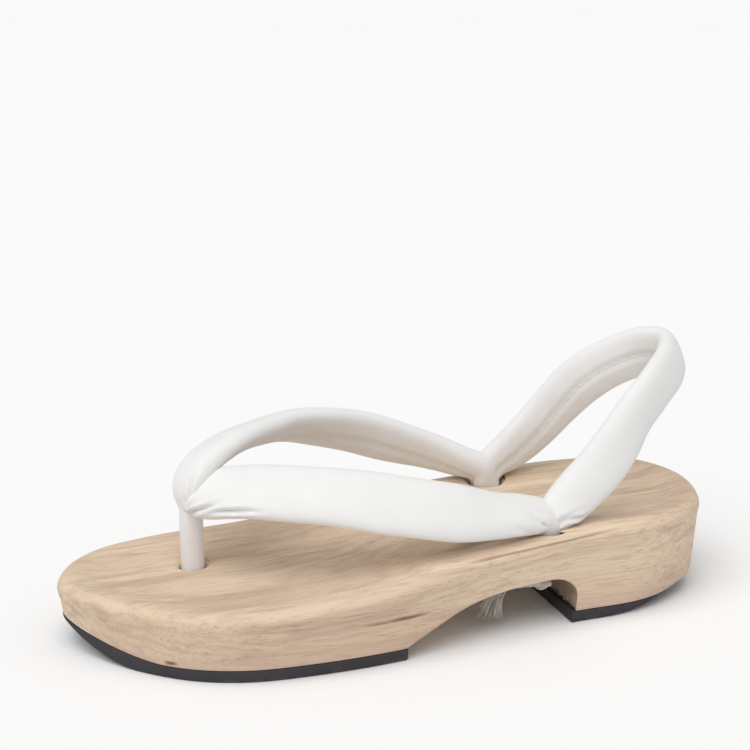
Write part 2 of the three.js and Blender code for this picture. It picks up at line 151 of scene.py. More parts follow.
# ---------- camera ----------
CAMERA_TARGET = Vector((-0.245813, 0.082265, 0.020))
CAMERA_DISTANCE = 1.0
CAMERA_AZIMUTH, CAMERA_ELEVATION = 69.773, 16.61    # degrees, azimuth 0 looks along +Y
LENS = 92.16


def direction(azimuth, elevation):
    """Unit vector from the object towards a viewer at these angles."""
    a, e = math.radians(azimuth), math.radians(elevation)
    return Vector((math.sin(a) * math.cos(e), -math.cos(a) * math.cos(e), math.sin(e)))


def make_camera():
    back = direction(CAMERA_AZIMUTH, CAMERA_ELEVATION)
    camera = bpy.data.objects.new("camera", bpy.data.cameras.new("camera"))
    camera.data.lens = LENS
    camera.data.clip_start, camera.data.clip_end = 0.05, 60
    camera.location = CAMERA_TARGET + back * CAMERA_DISTANCE
    camera.rotation_mode = "QUATERNION"
    camera.rotation_quaternion = (-back).to_track_quat("-Z", "Y")
    bpy.context.scene.collection.objects.link(camera)
    bpy.context.scene.camera = camera


# ---------- node helpers ----------
def new_material(name):
    material = bpy.data.materials.new(name)
    material.use_nodes = True
    material.node_tree.nodes.clear()
    return material, material.node_tree


def node(tree, kind, inputs=None, **settings):
    """A node with its settings, and its inputs as values or as other nodes' outputs."""
    made = tree.nodes.new(kind)
    for name, value in settings.items():
        setattr(made, name, value)
    for key, value in (inputs or {}).items():
        if isinstance(value, bpy.types.NodeSocket):
            tree.links.new(value, made.inputs[key])
        else:
            made.inputs[key].default_value = value
    return made


def maths(tree, operation, *values):
    return node(tree, "ShaderNodeMath", dict(enumerate(values)), operation=operation).outputs[0]


def times(tree, a, b):
    return maths(tree, "MULTIPLY", a, b)


def components(tree, vector):
    """The x, y and z sockets of a vector."""
    return node(tree, "ShaderNodeSeparateXYZ", {0: vector}).outputs


def length_of(tree, vector):
    return node(tree, "ShaderNodeVectorMath", {0: vector}, operation="LENGTH").outputs["Value"]


def object_place(tree):
    """Where a point of the piece lies in the row frame, in metres."""
    return node(tree, "ShaderNodeTexCoord").outputs["Object"]


def mix(tree, factor, a, b):
    """Colour a where the factor is 0, colour b where it is 1."""
    return node(tree, "ShaderNodeMix", {0: factor, 6: a, 7: b}, data_type="RGBA").outputs[2]


def between(tree, value, low, high):
    """0 below low, 1 above high, smooth in between; low may be the larger one."""
    inputs = {"Value": value, "From Min": low, "From Max": high}
    made = node(tree, "ShaderNodeMapRange", inputs, interpolation_type="SMOOTHSTEP")
    return made.outputs[0]


def stretched(tree, coordinates, scale, offset=(0, 0, 0)):
    inputs = {"Vector": coordinates, "Scale": scale, "Location": offset}
    return node(tree, "ShaderNodeMapping", inputs).outputs[0]


def noise(tree, vector, scale=1.0, detail=3.0, roughness=0.55):
    inputs = {"Vector": vector, "Scale": scale, "Detail": detail, "Roughness": roughness}
    return node(tree, "ShaderNodeTexNoise", inputs).outputs[0]


def shader(tree, color, roughness, bump=None, **values):
    """A principled surface; bump is (height socket, distance in metres, strength)."""
    inputs = {"Base Color": color, "Roughness": roughness}
    inputs.update({key.replace("_", " "): value for key, value in values.items()})
    if bump is not None:
        height, distance, strength = bump
        bumped = {"Height": height, "Distance": distance, "Strength": strength}
        inputs["Normal"] = node(tree, "ShaderNodeBump", bumped).outputs[0]
    surface = node(tree, "ShaderNodeBsdfPrincipled", inputs)
    node(tree, "ShaderNodeOutputMaterial", {"Surface": surface.outputs[0]})


# ---------- materials ----------
WOOD_LIGHT = (0.74, 0.59, 0.43, 1)
WOOD_MID = (0.64, 0.49, 0.35, 1)
WOOD_DARK = (0.40, 0.275, 0.19, 1)
WOOD_PINK = (0.50, 0.345, 0.27, 1)
WOOD_BLUSH = (0.58, 0.42, 0.35, 1)
# Paler wood for the rounded edge: wear, with a painted highlight.
WOOD_WORN_HIGHLIGHT = (0.76, 0.61, 0.44, 1)
VESSEL = (0.30, 0.18, 0.11, 1)
RED_FLECK = (0.46, 0.275, 0.195, 1)
# End grain of the heel's front face: partly its own darker colour, partly painted shade under the arch.
SAWN_SHADE_DARK, SAWN_SHADE_LIGHT = (0.26, 0.175, 0.12, 1), (0.42, 0.31, 0.225, 1)
STREAK = (0.20, 0.085, 0.05, 1)
RESIN = (0.25, 0.13, 0.08, 1)
GLUE = (0.03, 0.025, 0.025, 1)
RUBBER_DARK, RUBBER_GREY = (0.034, 0.031, 0.036, 1), (0.058, 0.053, 0.058, 1)
RUBBER_SCUFF = (0.16, 0.14, 0.125, 1)
CLOTH_SHADES = (0.785, 0.78, 0.77, 1), (0.8, 0.795, 0.785, 1)
CLOTH_SLUB = (0.68, 0.67, 0.655, 1)
# The cord is white cotton; both its tones are greyed as painted shade, for the shade under the sole where
# the knots and cord ends hang.
CORD_PAINTED_SHADE = (0.54, 0.505, 0.455, 1), (0.36, 0.33, 0.29, 1)
THREAD_SHADES = (0.85, 0.84, 0.82, 1), (0.74, 0.73, 0.71, 1)
FLOOR_SHADES = (0.9, 0.9, 0.9, 1), (0.92, 0.92, 0.92, 1)
WEAVE_PITCH = 0.00055             # of the cloth's threads
PITH = (0.012, 0, 0.075)          # the log's centre lies this far below and beside the sole
RING_SPACING = 0.0031
WOOD_STREAKS = [                  # centre and half sizes of a mark, and how strong it is
    ((0.0462, -0.0135, 0.0184), (0.02, 0.0105, 0.0011), 0.9),
    ((0.0468, -0.024, 0.0181), (0.02, 0.0075, 0.0008), 0.55),
    ((0.029, -0.0975, 0.0066), (0.004, 0.0036, 0.0012), 0.95),
]
RESIN_LINE = (0.0351, 0.58)       # its height in the middle of the sole, and how much it bends


def growth_rings(tree, place):
    """Dark late wood of each year's ring, round a centre line along the sole."""
    drift = noise(tree, stretched(tree, place, (22, 5, 22)), detail=2)
    ripple = noise(tree, stretched(tree, place, (70, 9, 70)), detail=2)
    radius = length_of(tree, stretched(tree, place, (1, 0.035, 1), (-PITH[0], 0, PITH[2])))
    wander = times(tree, drift, 0.034)
    waver = times(tree, ripple, 0.006)
    moved = maths(tree, "ADD", maths(tree, "ADD", radius, wander), waver)
    turn = times(tree, moved, 2 * math.pi / RING_SPACING)
    wave = maths(tree, "MULTIPLY_ADD", maths(tree, "SINE", turn), 0.5, 0.5)
    uneven = noise(tree, stretched(tree, place, (60, 4, 60), (7, 1, 2)), detail=2)
    return times(tree, maths(tree, "POWER", wave, 4.0), between(tree, uneven, 0.38, 0.68))


def wood_marks(tree, place, ragged):
    """The board's own dark streaks, each a thin ragged ellipsoid."""
    total = 0.0
    for centre, size, strength in WOOD_STREAKS:
        scale = tuple(1 / s for s in size)
        offset = tuple(-c / s for c, s in zip(centre, size))
        length = length_of(tree, stretched(tree, place, scale, offset))
        torn = maths(tree, "ADD", length, times(tree, ragged, 0.9))
        mark = times(tree, between(tree, torn, 1.5, 0.75), strength)
        total = maths(tree, "MAXIMUM", total, mark)
    return total


def resin_line(tree, place, ragged):
    """A thin dark line that follows the grain below the footbed's edge, on the outer side only."""
    x, y, z = components(tree, place)
    height, bend = RESIN_LINE
    line_z = maths(tree, "MULTIPLY_ADD", times(tree, y, y), bend, height)
    off = maths(tree, "ABSOLUTE", maths(tree, "SUBTRACT", z, line_z))
    torn = maths(tree, "MULTIPLY_ADD", ragged, 0.0006, off)
    line = between(tree, torn, 0.001, 0.00045)
    stretch = times(tree, between(tree, y, 0.008, 0.022), between(tree, y, 0.082, 0.062))
    return times(tree, times(tree, line, stretch), between(tree, x, 0.018, 0.026))


def glue_traces(tree, place, ragged):
    """Dark glue that squeezed out here and there where the heel's front face meets the rubber."""
    _, y, z = components(tree, place)
    low = maths(tree, "MULTIPLY_ADD", ragged, -0.01, z)
    near = maths(tree, "ABSOLUTE", maths(tree, "SUBTRACT", y, HEEL_BREAST))
    return times(tree, between(tree, low, 0.0014, 0.0007), between(tree, near, 0.0012, 0.0006))


def lengthwise_grain(tree, place, normal_y, rings, fibre, dashes, cloud):
    """The wood's own colour, with its rings, pinkish bands, fibres, vessels and red flecks."""
    streaky = noise(tree, stretched(tree, place, (150, 6, 260), (3, 5, 1)), detail=3)
    speckle = noise(tree, stretched(tree, place, (700, 45, 700), (1, 2, 8)), detail=5, roughness=0.7)
    color = mix(tree, between(tree, cloud, 0.3, 0.7), WOOD_LIGHT, WOOD_MID)
    color = mix(tree, times(tree, rings, 0.34), color, WOOD_DARK)
    color = mix(tree, times(tree, between(tree, streaky, 0.48, 0.66), 0.55), color, WOOD_PINK)
    color = mix(tree, times(tree, between(tree, fibre, 0.42, 0.72), 0.3), color, WOOD_DARK)
    color = mix(tree, times(tree, dashes, 0.45), color, VESSEL)
    across = between(tree, maths(tree, "ABSOLUTE", normal_y), 0.35, 0.9)
    lengthwise = maths(tree, "MULTIPLY_ADD", across, -0.75, 1.0)
    often = maths(tree, "MULTIPLY_ADD", streaky, 0.7, 0.15)
    flecks = times(tree, between(tree, speckle, 0.5, 0.66), often)
    return mix(tree, times(tree, flecks, lengthwise), color, RED_FLECK)


def blushed(tree, place, cloud, color):
    """Pinker wood low on the walls."""
    low = maths(tree, "MULTIPLY_ADD", cloud, 0.008, components(tree, place)[2])
    return mix(tree, times(tree, between(tree, low, 0.0175, 0.0095), 0.5), color, WOOD_BLUSH)


def sawn_end_and_shade(tree, place, normal_y, color):
    """Dark porous end grain on the sawn face in front of the heel, darkened further as painted shade of the
    hollow under the arch.
    """
    y = components(tree, place)[1]
    from_face = maths(tree, "ABSOLUTE", maths(tree, "SUBTRACT", y, HEEL_BREAST - 0.004))
    facing = between(tree, normal_y, -0.45, -0.85)
    end_grain_and_shade = times(tree, facing, between(tree, from_face, 0.01, 0.007))
    pores = noise(tree, stretched(tree, place, (1500, 300, 1500)), detail=3)
    shaded_cut_end = mix(tree, between(tree, pores, 0.4, 0.65), SAWN_SHADE_DARK, SAWN_SHADE_LIGHT)
    return mix(tree, times(tree, end_grain_and_shade, 0.9), color, shaded_cut_end)


def worn_and_highlit_edges(tree, normal_z, color):
    """Paler wood on the rounded edge, where the normal turns from wall to top: partly wear where hands and
    feet rub, partly a painted highlight where the edge catches the light.
    """
    rounded = between(tree, normal_z, 0.15, 0.5)
    flat = between(tree, normal_z, 0.93, 0.995)
    rub_and_highlight = times(tree, rounded, maths(tree, "SUBTRACT", 1.0, flat))
    return mix(tree, times(tree, rub_and_highlight, 0.25), color, WOOD_WORN_HIGHLIGHT)


def make_wood():
    """Bare sanded paulownia: soft lengthwise grain, short dark vessels and pinkish streaks."""
    material, tree = new_material("wood_grain")
    place = object_place(tree)
    _, normal_y, normal_z = components(tree, node(tree, "ShaderNodeNewGeometry").outputs["Normal"])
    rings = growth_rings(tree, place)
    fibre = noise(tree, stretched(tree, place, (900, 22, 900)), detail=4, roughness=0.65)
    dashes = between(tree, noise(tree, stretched(tree, place, (1500, 75, 1500)), detail=2), 0.62, 0.72)
    cloud = noise(tree, stretched(tree, place, (34, 7, 34)), detail=3)
    ragged = noise(tree, stretched(tree, place, (400, 60, 900)), detail=3)

    color = lengthwise_grain(tree, place, normal_y, rings, fibre, dashes, cloud)
    color = blushed(tree, place, cloud, color)
    color = sawn_end_and_shade(tree, place, normal_y, color)
    color = worn_and_highlit_edges(tree, normal_z, color)
    color = mix(tree, wood_marks(tree, place, ragged), color, STREAK)
    color = mix(tree, times(tree, resin_line(tree, place, ragged), 0.65), color, RESIN)
    color = mix(tree, glue_traces(tree, place, ragged), color, GLUE)

    relief = maths(tree, "MULTIPLY_ADD", fibre, 0.5, times(tree, dashes, -0.8))
    relief = maths(tree, "MULTIPLY_ADD", rings, 0.35, relief)
    rough = maths(tree, "MULTIPLY_ADD", cloud, 0.12, 0.5)
    shader(tree, color, rough, (relief, 0.00025, 0.5), Specular_IOR_Level=0.35)
    return material


def make_rubber():
    """Matt charcoal sheet rubber with a fine grit and paler scuffs low on its sides."""
    material, tree = new_material("sheet_rubber")
    place = object_place(tree)
    height = components(tree, place)[2]
    grit = noise(tree, place, scale=2600, detail=3)
    cloud = noise(tree, place, scale=90, detail=3)
    color = mix(tree, cloud, RUBBER_DARK, RUBBER_GREY)
    low = times(tree, between(tree, height, 0.0022, 0.0002), between(tree, cloud, 0.45, 0.7))
    color = mix(tree, times(tree, low, 0.5), color, RUBBER_SCUFF)
    rough = maths(tree, "MULTIPLY_ADD", cloud, 0.15, 0.72)
    shader(tree, color, rough, (grit, 0.00012, 0.5), Specular_IOR_Level=0.3)
    return material


def make_fabric():
    """Smooth white cloth, closely woven, its threads running along and round the strap."""
    material, tree = new_material("white_strap_cloth")
    cloth = node(tree, "ShaderNodeTexCoord").outputs["UV"]
    place = object_place(tree)
    round_strap, along_strap, _ = components(tree, cloth)
    turns = 2 * math.pi / WEAVE_PITCH
    warp = maths(tree, "SINE", times(tree, round_strap, turns))
    weft = maths(tree, "SINE", times(tree, along_strap, turns))
    weave = times(tree, warp, weft)
    slub = noise(tree, stretched(tree, cloth, (1500, 260, 1)), detail=3)
    soft = noise(tree, place, scale=120, detail=3)
    color = mix(tree, between(tree, soft, 0.3, 0.7), *CLOTH_SHADES)
    color = mix(tree, times(tree, between(tree, slub, 0.5, 0.75), 0.07), color, CLOTH_SLUB)
    relief = maths(tree, "MULTIPLY_ADD", weave, 0.25, slub)
    relief = maths(tree, "MULTIPLY_ADD", soft, 0.5, relief)
    shader(
        tree, color, 0.88, (relief, 0.00016, 0.45),
        Specular_IOR_Level=0.25, Sheen_Weight=0.25, Sheen_Roughness=0.5,
    )
    return material


def make_cotton(name, light, dark):
    """Undyed cotton: fine fibres in two shades, with a soft surface."""
    material, tree = new_material(name)
    place = object_place(tree)
    fibres = noise(tree, place, scale=2400, detail=4, roughness=0.7)
    patches = noise(tree, place, scale=260, detail=2)
    shade = maths(tree, "MULTIPLY_ADD", patches, 0.5, times(tree, fibres, 0.5))
    color = mix(tree, between(tree, shade, 0.38, 0.62), light, dark)
    shader(tree, color, 0.92, (fibres, 0.0002, 0.6), Specular_IOR_Level=0.2, Sheen_Weight=0.3)
    return material


def make_floor_material():
    material, tree = new_material("pale_floor")
    place = object_place(tree)
    cloud = noise(tree, place, scale=6, detail=2)
    color = mix(tree, cloud, *FLOOR_SHADES)
    shader(tree, color, 0.9, Specular_IOR_Level=0.1)
    return material


# ---------- mesh helpers ----------
def unit(vectors):
    return vectors / np.linalg.norm(vectors, axis=-1, keepdims=True)


def smoothstep(value, low, high):
    part = np.clip((np.asarray(value, float) - low) / (high - low), 0, 1)
    return part * part * (3 - 2 * part)


def spline(rows, steps, closed=False, axes=3):
    """Centripetal Catmull-Rom curve through rows; the first axes columns are the place."""
    rows = np.asarray(rows, float)
    if closed:
        guide = np.vstack([rows[-1:], rows, rows[:2]])
    else:
        guide = np.vstack([2 * rows[:1] - rows[1:2], rows, 2 * rows[-1:] - rows[-2:-1]])
    part = (np.arange(steps) / steps)[:, None]
    gaps = np.linalg.norm(np.diff(guide[:, :axes], axis=0), axis=1) ** 0.5
    pieces = []
    for k in range(len(guide) - 3):
        p0, p1, p2, p3 = guide[k:k + 4]
        d0, d1, d2 = gaps[k:k + 3]
        start = ((p1 - p0) / d0 - (p2 - p0) / (d0 + d1) + (p2 - p1) / d1) * d1
        end = ((p2 - p1) / d1 - (p3 - p1) / (d1 + d2) + (p3 - p2) / d2) * d1
        square = 3 * (p2 - p1) - 2 * start - end
        cubic = 2 * (p1 - p2) + start + end
        pieces.append(((cubic * part + square) * part + start) * part + p1)
    if not closed:
        pieces.append(rows[-1:])
    return np.vstack(pieces)


def travelled(points):
    """Distance along a line up to each of its points."""
    steps = np.linalg.norm(np.diff(points, axis=0), axis=1)
    return np.concatenate([[0], np.cumsum(steps)])


def resampled(rows, spacing, axes=3):
    """The same line with even steps of about that spacing."""
    way = travelled(rows[:, :axes])
    count = max(int(round(way[-1] / spacing)), 2)
    even = np.linspace(0, way[-1], count + 1)
    return np.column_stack([np.interp(even, way, column) for column in rows.T])


def make_object(name, points, faces, material, sharp=40):
    """A mesh object in the row frame, smooth except where faces meet at more than sharp degrees."""
    mesh = bpy.data.meshes.new(name)
    mesh.from_pydata([tuple(p) for p in points], [], [tuple(f) for f in faces])
    mesh.materials.append(material)
    mesh.shade_smooth()
    mesh.set_sharp_from_angle(angle=math.radians(sharp))
    mesh.update()
    made = bpy.data.objects.new(name, mesh)
    bpy.context.scene.collection.objects.link(made)
    return made


def declare(piece, slot, *nodes):
    """The piece rides on the sandal's one body and stands for CAD nodes, which are hidden; slot is not
    used.
    """
    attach(piece, "root")
    if nodes:
        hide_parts(*nodes)


def loft_faces(count, ring_count):
    """Quads between closed rings that follow each other in the list of points."""
    index = np.arange(ring_count * count).reshape(ring_count, count)
    after = np.roll(index, -1, axis=1)
    return np.stack([index[:-1], after[:-1], after[1:], index[1:]], axis=-1).reshape(-1, 4).tolist()


def clean_face(corners):
    """The face without corners that repeat, or None if too few are left."""
    kept = [c for k, c in enumerate(corners) if c != corners[k - 1]]
    return kept if len(kept) > 2 else None


def grid_faces(grid, upward):
    """Faces between neighbouring lines of a grid of point numbers."""
    faces = []
    for i in range(grid.shape[0] - 1):
        for j in range(grid.shape[1] - 1):
            face = clean_face([grid[i, j], grid[i + 1, j], grid[i + 1, j + 1], grid[i, j + 1]])
            if face:
                faces.append(face if upward else face[::-1])
    return faces


def closed_tube(rings):
    """Points and faces of a tube through rings, its ends closed by a fan."""
    ring_count, count = rings.shape[:2]
    points = np.vstack([rings.reshape(-1, 3), rings[0].mean(axis=0), rings[-1].mean(axis=0)])
    faces = loft_faces(count, ring_count)
    first, last = ring_count * count, ring_count * count + 1
    base = (ring_count - 1) * count
    for i in range(count):
        after = (i + 1) % count
        faces.append((after, i, first))
        faces.append((base + i, base + after, last))
    return points, faces


def joined(parts):
    """Points and faces of several (points, faces) as one mesh."""
    points, faces, start = [], [], 0
    for part_points, part_faces in parts:
        points.append(part_points)
        faces += [[start + corner for corner in face] for face in part_faces]
        start += len(part_points)
    return np.vstack(points), faces


def carried_frame(line):
    """Directions along a line and two across it that don't twist."""
    along = unit(np.gradient(line, axis=0))
    side = unit(np.cross(along[0], (0.31, 0.9, 0.2)))
    sides = []
    for direction_here in along:
        side = unit(side - direction_here * side.dot(direction_here))
        sides.append(side)
    sides = np.array(sides)
    return along, sides, np.cross(along, sides)


# ---------- cords ----------
KNOT_ROPE = 0.0027
CORD_STEP = 0.0004
FIBRES = 70                       # loose fibres on each cord end
FIBRE_SEED = 11


def rope(line, diameter, plies=3, turn=0.011, sides=30, taper=0.0):
    """Points and faces of a twisted cord; taper thins its last part, up to 1."""
    _, side, up = carried_frame(line)
    angle = np.linspace(0, 2 * np.pi, sides, endpoint=False)
    way = travelled(line)
    twist = 2 * np.pi * way / turn
    swell = np.abs(np.cos((angle[None] - twist[:, None]) * plies / 2))
    slim = 1 - taper * smoothstep(way / way[-1], 0.55, 1.0)
    radius = diameter / 2 * (0.8 + 0.2 * swell) * slim[:, None]
    across = np.cos(angle)[None, :, None] * side[:, None] + np.sin(angle)[None, :, None] * up[:, None]
    return closed_tube(line[:, None] + across * radius[..., None])


def fibre_tuft(line, diameter, count, draws):
    """Loose fibres that open a little from the last part of a cord and end bluntly."""
    parts = []
    along, side, up = carried_frame(line)
    step = np.linspace(0, 1, 10)
    for _ in range(count):
        start = int(len(line) * draws.uniform(0.5, 0.7))
        index = start + (step * (len(line) - 1 - start)).astype(int)
        turn = draws.uniform(0, 2 * np.pi)
        opening = diameter * (0.3 + 0.75 * draws.uniform(0, 1) ** 0.5 * step ** 1.5)[:, None]
        across = np.cos(turn) * side[index] + 0.6 * np.sin(turn) * up[index]
        curl = draws.normal(0, 0.00025, 3) * np.sin(step * draws.uniform(4, 9))[:, None]
        over = along[-1] * draws.uniform(-0.0008, 0.0012) * step[:, None] ** 3
        path = line[index] + across * opening + curl + over
        thick = draws.uniform(0.0004, 0.00062)
        parts.append(rope(path, thick, plies=2, turn=0.004, sides=6, taper=0.35))
    return joined(parts)


def knot_line(hole):
    """A closed overhand knot, pressed flat against the wood."""
    turn = np.linspace(0, 2 * np.pi, 240)
    shape = np.column_stack([
        np.sin(turn) + 2 * np.sin(2 * turn),
        np.cos(turn) - 2 * np.cos(2 * turn),
        -np.sin(3 * turn),
    ])
    half = (np.array([KNOT["width"], KNOT["length"], KNOT["height"]]) - KNOT_ROPE) / 2
    shape = shape / np.abs(shape).max(axis=0) * half
    return shape + (hole[0], hole[1] - KNOT["forward"], KNOT["z"])


def make_cords(cotton):
    draws = np.random.default_rng(FIBRE_SEED)
    for name, hole in SIDE_HOLES.items():
        side = 1 if name == "lateral" else -1
        points, faces = rope(knot_line(hole), KNOT_ROPE, turn=0.009)
        knot = make_object(f"tied_knot_{name}", points, faces, cotton)
        declare(knot, "cord", f"knot_{name}")
        for kind, facts in CORD_ENDS.items():
            route = [(hole[0] + side * dx, hole[1] + dy, z) for dx, dy, z in facts["route"]]
            line = resampled(spline(route, 8), CORD_STEP)
            points, faces = rope(line, facts["diameter"], taper=0.55)
            piece = make_object(f"cord_end_{name}_{kind}", points, faces, cotton)
            declare(piece, "cord", f"tail_{name}_{kind}")
            points, faces = fibre_tuft(line, facts["diameter"], FIBRES, draws)
            tuft = make_object(f"frayed_tip_{name}_{kind}", points, faces, cotton)
            declare(tuft, "cord")


# ---------- sole ----------
OUTLINE_STEPS = 24
WOOD_STEP = 0.0016                # distance between columns of the wood's surface
EASE = 0.0006                     # radius of the small eased edges
UNDERCUT_CHANGE = (0.085, 0.128)  # where along the sole the side's undercut turns into the heel's
BEVEL_GROWTH = (0.066, 0.126)     # where the heel's bevel begins and is full
BEVEL_SOFTNESS = 0.0008
PROFILE_STEP = 0.0003             # spacing at which the arch's corners are eased
ARCH_STEP = 0.0013
UNDERSIDE_LINES, BED_LINES = 14, 2
SANDING = 0.00011                 # height of the sanded surface's unevenness
SIDE_HOLE_START = 0.008           # the side holes' cutter starts in the open, under the arch
MOUTH_DEPTH, MOUTH_CURVE = 0.0042, 0.0024
MOUTH_FLARE, MOUTH_TOP = 0.002, 0.0021


def outline_halves():
    """Each side of the outline from toe to heel: way along it, x, y and the inward direction."""
    lateral = SOLE_ROWS[:, [1, 0]]
    medial = SOLE_ROWS[::-1, [2, 0]] * (-1, 1)
    curve = spline(np.vstack([TOE_TIP, lateral, HEEL_TIP, medial]), OUTLINE_STEPS, closed=True, axes=2)
    tangent = unit(np.roll(curve, -1, axis=0) - np.roll(curve, 1, axis=0))
    inward = np.column_stack([-tangent[:, 1], tangent[:, 0]])
    table = np.column_stack([curve, inward])
    table = np.vstack([table, table[:1]])
    middle = (len(SOLE_ROWS) + 1) * OUTLINE_STEPS
    halves = [table[:middle + 1], table[::-1][:middle + 1]]
    return [np.column_stack([travelled(half[:, :2]), half]) for half in halves]


HALVES = outline_halves()


def at_way(half, way):
    """x, y and the inward direction at a distance along one side of the outline."""
    x, y, inward_x, inward_y = [np.interp(way, half[:, 0], half[:, k]) for k in (1, 2, 3, 4)]
    length = np.hypot(inward_x, inward_y)
    return x, y, inward_x / length, inward_y / length


def way_at(half, y):
    return np.interp(y, half[:, 2], half[:, 0])


def edge_height(y):
    """Height of the footbed's edge, a smooth curve through the rows of the table."""
    ys, tops = SOLE_ROWS[:, 0], SOLE_ROWS[:, 3]
    slopes = np.gradient(tops, ys)
    slopes[0] = slopes[-1] = 0
    k = np.clip(np.searchsorted(ys, y, side="right"), 1, len(ys) - 1)
    gap = ys[k] - ys[k - 1]
    part = np.clip((y - ys[k - 1]) / gap, 0, 1)
    a, b = tops[k - 1], tops[k]
    slope_a, slope_b = slopes[k - 1] * gap, slopes[k] * gap
    cubic, square = 2 * a - 2 * b + slope_a + slope_b, 3 * b - 3 * a - 2 * slope_a - slope_b
    return ((cubic * part + square) * part + slope_a) * part + a


def undercut(y):
    """How much the wall leans inwards for each metre below the edge."""
    heel = (HEEL_UNDERCUT - SIDE_UNDERCUT) * smoothstep(y, *UNDERCUT_CHANGE)
    return np.tan(np.radians(SIDE_UNDERCUT + heel))


def toe_rise(y, rise):
    """How far the underside has curved up at a distance along the sole."""
    reach, height, power = rise
    return height * np.maximum(1 - (y - TOE_TIP[1]) / reach, 0) ** power


def wall(half, way, height, extra=0.0):
    """Points on the leaning side wall, or moved inwards from it by extra."""
    x, y, inward_x, inward_y = at_way(half, way)
    over = HEEL_BEVEL * smoothstep(y, *BEVEL_GROWTH) - height
    bevel = (over + np.sqrt(over * over + BEVEL_SOFTNESS ** 2)) / 2
    inset = (edge_height(y) - height) * undercut(y) + bevel + extra
    return np.stack([x + inward_x * inset, y + inward_y * inset, height + 0 * x], axis=-1)


def under_profile():
    """Lower edge of the wood from toe to heel as (y, z), with its corners slightly eased."""
    lateral = HALVES[0]
    centre_y, centre_z, reach, drop = ARCH_FILLET
    quarter = np.linspace(np.pi / 2, 0, 16)[1:]
    fillet = np.column_stack([centre_y + reach * np.cos(quarter), centre_z + drop * np.sin(quarter)])
    arch = np.vstack([spline(ARCH_ROWS, 10, axes=2), fillet, [(HEEL_BREAST, RUBBER)]])
    fine = resampled(arch, PROFILE_STEP, axes=2)
    level_run = PROFILE_STEP * np.column_stack([np.arange(1, 4), np.zeros(3)])
    fine = np.vstack([fine[0] - level_run[::-1], fine, fine[-1] + level_run])
    soft = np.column_stack([np.convolve(column, np.ones(5) / 5, "valid") for column in fine.T])
    arch = resampled(soft, ARCH_STEP, axes=2)
    stretches = []
    for low, high in ((TOE_TIP[1], arch[0, 0]), (arch[-1, 0], HEEL_TIP[1])):
        start, end = way_at(lateral, low), way_at(lateral, high)
        way = np.linspace(start, end, int((end - start) / WOOD_STEP) + 1)
        y = np.interp(way, lateral[:, 0], lateral[:, 2])
        y[0], y[-1] = low, high
        stretches.append(np.column_stack([y, RUBBER + toe_rise(y, WOOD_RISE)]))
    return np.vstack([stretches[0][:-1], arch, stretches[1][1:]])


def as_ring(lateral, medial):
    """Columns of both sides as one closed ring; they share the tips of toe and heel."""
    return np.vstack([lateral, medial[-2:0:-1]])


def cap(points, faces, start, columns, divisions, upward):
    """Closes a ring by lines across from each lateral column to its medial one."""
    count = 2 * columns
    grid = np.zeros((columns + 1, divisions + 1), int)
    for i in range(columns + 1):
        ends = (start + i, start + (count - i) % count)
        grid[i, 0], grid[i, -1] = ends
        if i in (0, columns):
            grid[i, :] = ends[0]
            continue
        for j in range(1, divisions):
            share = j / divisions
            grid[i, j] = len(points)
            points.append(points[ends[0]] * (1 - share) + points[ends[1]] * share)
    faces += grid_faces(grid, upward)


EDGE_PROFILE = [                  # inset from the outline and fall below the edge
    (0.0004, 0.0064), (0.00005, 0.0046), (0.0002, 0.0031), (0.00075, 0.0019),
    (0.00155, 0.00098), (0.0026, 0.00042), (0.0039, 0.0001), (0.0052, 0.0),
]
WALL_TOP = 0.0082                 # the plain wall ends this far below the edge
WALL_RINGS = 15
BED_RINGS = 14
DISH_REACH = 0.42                 # share of the way to the middle at which the footbed is full depth


def pinned(way, half):
    """The same distances, with the first and last at the tips of toe and heel."""
    way[0], way[-1] = 0, half[-1, 0]
    return way


def wall_rings(half, profile, into, top_way):
    """Rings from the eased lower edge up the plain wall."""
    middle = profile + into * EASE * 0.3
    low = profile + into * EASE
    low_way = pinned(way_at(half, low[:, 0]), half)
    rings = [
        wall(half, pinned(way_at(half, profile[:, 0]), half), profile[:, 1], EASE),
        wall(half, way_at(half, middle[:, 0]), middle[:, 1], EASE * 0.3),
    ]
    wall_height = edge_height(at_way(half, top_way)[1]) - WALL_TOP
    for part in np.linspace(0, 1, WALL_RINGS):
        level = low[:, 1] * (1 - part) + wall_height * part
        rings.append(wall(half, low_way * (1 - part) + top_way * part, level))
    return rings


def rim_rings(half, top_way):
    """Rings from the top of the wall over the rounded edge."""
    x, y, inward_x, inward_y = at_way(half, top_way)
    start = np.column_stack([WALL_TOP * undercut(y), np.full(len(y), WALL_TOP)])
    stages = [start] + [np.tile(row, (len(y), 1)) for row in EDGE_PROFILE]
    smooth = spline(np.stack(stages).reshape(len(stages), -1), 3, axes=2)
    rings = []
    for inset, fall in smooth.reshape(len(smooth), len(y), 2)[1:].transpose(0, 2, 1):
        rings.append(np.stack([x + inward_x * inset, y + inward_y * inset, edge_height(y) - fall], axis=-1))
    return rings


def bed_rings(rim):
    """Rings from the rim in across the dished footbed, towards the sole's middle line."""
    core = np.column_stack([np.full(len(rim), SPINE_X), np.clip(rim[:, 1], SPINE_FRONT, SPINE_BACK)])
    rings = []
    for part in np.linspace(0, 0.9, BED_RINGS)[1:]:
        moved = rim[:, :2] * (1 - part) + core * part
        fall = DISH * np.sin(np.pi / 2 * min(part / DISH_REACH, 1)) ** 1.5
        rings.append(np.column_stack([moved, edge_height(moved[:, 1]) - fall]))
    return rings


